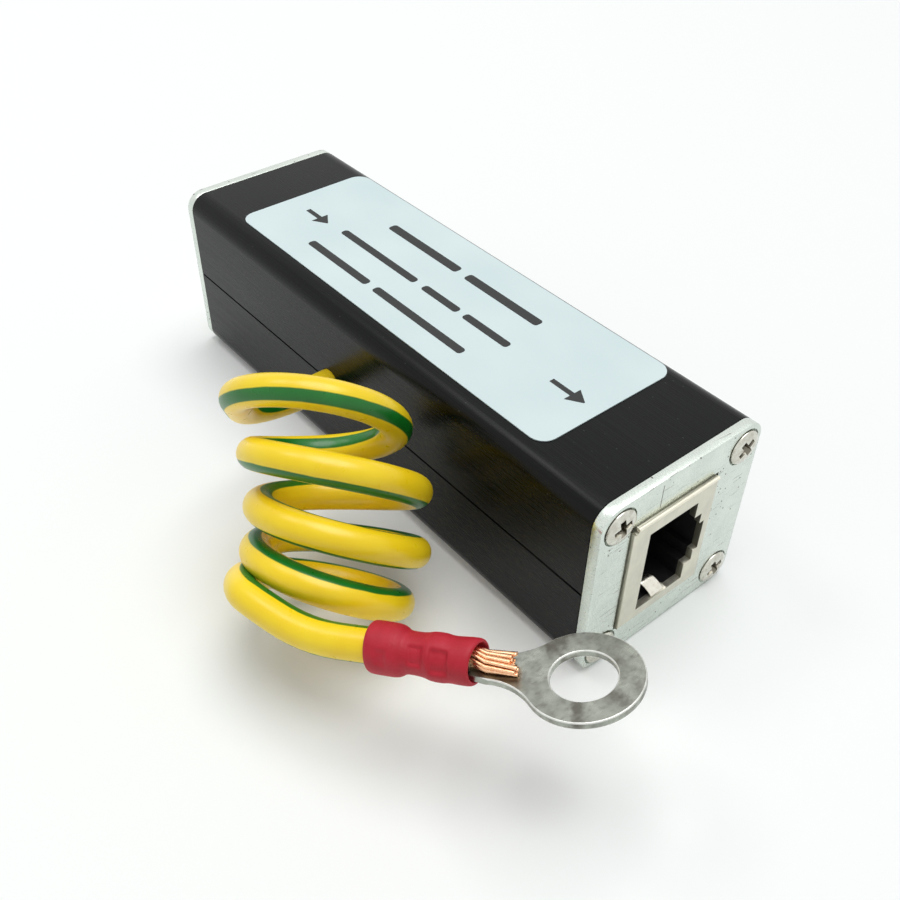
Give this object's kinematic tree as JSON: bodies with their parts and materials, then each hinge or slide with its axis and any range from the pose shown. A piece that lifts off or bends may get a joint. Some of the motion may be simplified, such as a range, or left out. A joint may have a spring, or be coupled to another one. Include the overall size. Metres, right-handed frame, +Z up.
{
  "type": "ethernet surge protector",
  "caption": "Slim split aluminium housing with a shielded network socket in each end and a coiled earth lead that ends in an insulated ring terminal.",
  "frame": {"origin": "middle of the housing's underside, on the surface that it lies on", "axes": "+X along the housing towards the device side socket, the earth lead leaves the -Y side, +Z up through the label"},
  "size_m": [0.097, 0.0546, 0.0318],
  "materials": {
    "black_anodised": "black anodised extrusion, brushed along its length",
    "plain_aluminium": "bare milled aluminium, lightly scratched",
    "nickel_steel": "nickel plated screw steel",
    "label_film": "pale bluish white matte film",
    "jack_sheet": "warm nickel plated thin sheet",
    "jack_plastic": "black moulded thermoplastic",
    "contact_gold": "gold flashed spring wire",
    "board_laminate": "green solder mask on glass laminate",
    "tube_ceramic": "ceramic body with metal electrodes",
    "array_plastic": "black epoxy package",
    "chip_ceramic": "dark glazed ceramic",
    "copper": "bare copper",
    "solder": "bright tin solder",
    "tie_nylon": "black nylon",
    "lead_insulation": "yellow and green striped soft vinyl, satin",
    "tinned_copper": "tinned copper stamping, dull grey",
    "sleeve_vinyl": "deep red matte vinyl"
  },
  "bodies": {
    "root": {"lower_shell": "black_anodised", "upper_shell": "black_anodised", "out_end_plate": "plain_aluminium", "in_end_plate": "plain_aluminium", "out_plate_screws": "nickel_steel", "in_plate_screws": "nickel_steel", "label": "label_film", "out_jack_shield": "jack_sheet", "in_jack_shield": "jack_sheet", "out_jack_insert": "jack_plastic", "in_jack_insert": "jack_plastic", "out_jack_contacts": "contact_gold", "in_jack_contacts": "contact_gold", "circuit_board": "board_laminate", "series_resistors": "chip_ceramic", "earth_core": "copper", "earth_joint": "solder", "lead_tie": "tie_nylon", "earth_lead_inner": "lead_insulation", "earth_lead_outer": "lead_insulation", "earth_lead_coil": "lead_insulation", "earth_lead_tail": "lead_insulation", "ring_terminal": "tinned_copper", "terminal_sleeve": "sleeve_vinyl", "lead_strands": "copper", "gas_tube_1": "tube_ceramic", "gas_tube_2": "tube_ceramic", "gas_tube_3": "tube_ceramic", "gas_tube_4": "tube_ceramic", "diode_array_1": "array_plastic", "diode_array_2": "array_plastic"}
  },
  "joints": []
}
